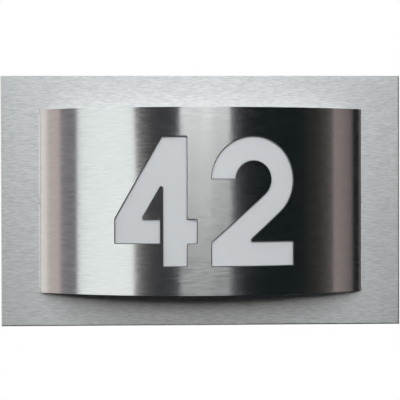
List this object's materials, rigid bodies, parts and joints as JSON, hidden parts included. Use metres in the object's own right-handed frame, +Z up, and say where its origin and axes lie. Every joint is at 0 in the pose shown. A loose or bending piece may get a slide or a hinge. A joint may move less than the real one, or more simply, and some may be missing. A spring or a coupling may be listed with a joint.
{
  "type": "illuminated house number sign",
  "caption": "Wall sign with a bowed metal panel in front of a flat plate, cut with a house number over an opal diffuser and a lamp.",
  "frame": {"origin": "on the wall plane, at the middle of the two wall screws, which is also the middle of the back plate", "axes": "+Z up the wall, +X to the right as seen from the street, -Y out of the wall towards the viewer"},
  "size_m": [0.32, 0.066, 0.2],
  "materials": {
    "brushed_stainless": "fine horizontal brushing, satin",
    "bright_stainless": "bright turned stainless",
    "zinc_plate": "zinc plated, dull",
    "spring_steel": "hardened spring strip",
    "aluminium": "plain",
    "brass": "turned",
    "tinned_copper": "tin plated copper",
    "nickel": "nickel plated brass",
    "black_glaze": "black vitreous insulator",
    "white_enamel": "white powder coat",
    "opal_plastic": "opal white, satin",
    "bulb_plastic": "frosted white",
    "white_plastic": "moulded, fine texture",
    "black_rubber": "matt",
    "nylon": "natural nylon",
    "blue_insulation": "flexible insulation",
    "brown_insulation": "flexible insulation",
    "green_insulation": "flexible insulation, yellow stripe"
  },
  "bodies": {
    "base": {"back_plate": "brushed_stainless", "wall_bracket": "zinc_plate", "hanger_studs": "zinc_plate", "seal_washers": "black_rubber", "cap_nuts": "bright_stainless", "spring_clips": "spring_steel", "clip_rivets": "aluminium", "cover_gasket": "black_rubber", "reflector": "white_enamel", "reflector_screws": "zinc_plate", "cable_grommet": "black_rubber", "cable_clamp": "white_plastic", "cable_clamp_screws": "zinc_plate", "lampholder_bracket": "zinc_plate", "bracket_screws": "zinc_plate", "lampholder_body": "white_plastic", "lampholder_shell": "nickel", "lampholder_contact": "brass", "holder_screws": "zinc_plate", "terminal_block": "white_plastic", "terminal_clamps": "brass", "terminal_screws": "bright_stainless", "block_screws": "zinc_plate", "earth_stud": "brass", "earth_washer": "zinc_plate", "earth_lug": "tinned_copper", "earth_nut": "brass", "neutral_lead": "blue_insulation", "live_lead": "brown_insulation", "earth_lead": "green_insulation"},
    "cover": {"number_panel": "brushed_stainless", "cover_studs": "zinc_plate", "diffuser": "opal_plastic", "cover_washers": "nylon", "cover_nuts": "zinc_plate"},
    "lamp": {"lamp_contact": "tinned_copper", "lamp_insulator": "black_glaze", "lamp_cap": "nickel", "lamp_collar": "white_plastic", "lamp_bulb": "bulb_plastic"}
  },
  "joints": [
    {"name": "cover_pull", "type": "slide", "parent": "base", "child": "cover", "axis": [0, -1, 0], "range_m": [0, 0.08]},
    {"name": "lamp_unscrew", "type": "slide", "parent": "base", "child": "lamp", "axis": [0, 0, 1], "range_m": [0, 0.0141]}
  ]
}
